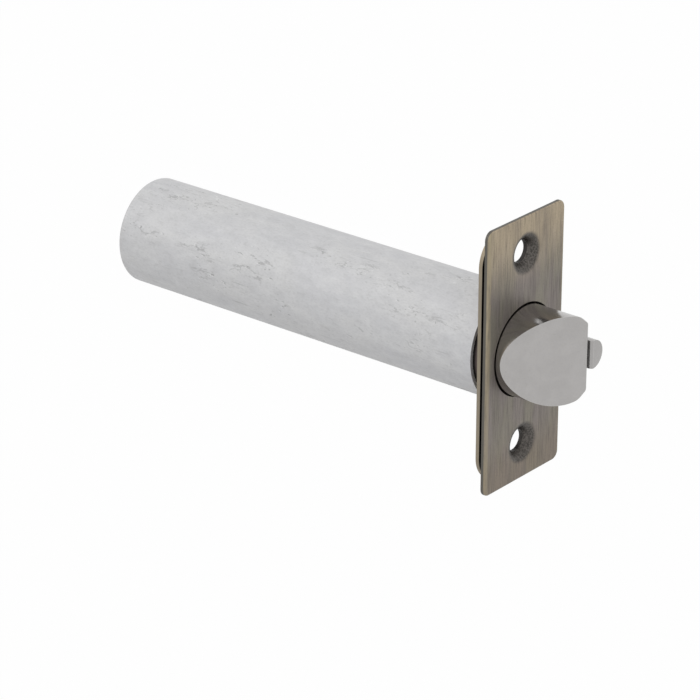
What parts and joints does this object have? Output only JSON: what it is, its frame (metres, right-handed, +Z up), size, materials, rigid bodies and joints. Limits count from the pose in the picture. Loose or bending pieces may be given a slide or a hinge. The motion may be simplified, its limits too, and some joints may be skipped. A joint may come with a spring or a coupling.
{
  "type": "deadlatch",
  "caption": "Extended-backset deadlatch: a slanted spring bolt and D-section guard plunger in a screw-on faceplate, with a long plain tube over the works.",
  "frame": {"origin": "centre of the faceplate's front face, on the bolt's axis", "axes": "+X out of the door edge along the bolt, +Z up along the faceplate, +Y to the guard plunger"},
  "size_m": [0.1171, 0.025, 0.0572],
  "materials": {
    "antique_brass": "brushed antique brass",
    "zinc_plated_tube": "dull bright zinc plate",
    "satin_bolt": "satin nickel plate",
    "plain_steel": "plain pressed steel",
    "spring_steel": "drawn spring wire"
  },
  "bodies": {
    "case": {"faceplate": "antique_brass", "backplate": "antique_brass", "tube": "zinc_plated_tube", "lock_plate": "plain_steel", "spring_seat": "plain_steel", "tail_guide": "plain_steel", "bolt_spring": "spring_steel", "plunger_spring": "spring_steel"},
    "bolt": {"latch_bolt": "satin_bolt", "tail_pin": "plain_steel", "pawl_pin": "plain_steel", "pawl_spring": "spring_steel"},
    "plunger": {"deadlock_plunger": "satin_bolt"},
    "pawl": {"deadlock_pawl": "plain_steel"},
    "tail": {"latch_tail": "plain_steel", "extension_link": "plain_steel", "link_rivets": "plain_steel"}
  },
  "joints": [
    {"name": "bolt_slide", "type": "slide", "parent": "case", "child": "bolt", "axis": [1, 0, 0], "range_m": [-0.0117, 0], "stiffness_N_per_m": 400, "springref_m": 0.012, "deforming": ["bolt_spring", "plunger_spring"]},
    {"name": "plunger_slide", "type": "slide", "parent": "bolt", "child": "plunger", "axis": [1, 0, 0], "range_m": [-0.011, 0], "stiffness_N_per_m": 150, "springref_m": 0.01, "deforming": ["plunger_spring"]},
    {"name": "tail_slide", "type": "slide", "parent": "bolt", "child": "tail", "axis": [1, 0, 0], "range_m": [-0.002, 0]},
    {"name": "pawl_hinge", "type": "hinge", "parent": "bolt", "child": "pawl", "pos_m": [-0.01845, 0.0025, 0], "axis": [0, 0, -1], "range_deg": [0, 10]}
  ],
  "couplings": [
    {"joint": "pawl_hinge", "follows": "plunger_slide", "rad_per_m": -15.867}
  ]
}
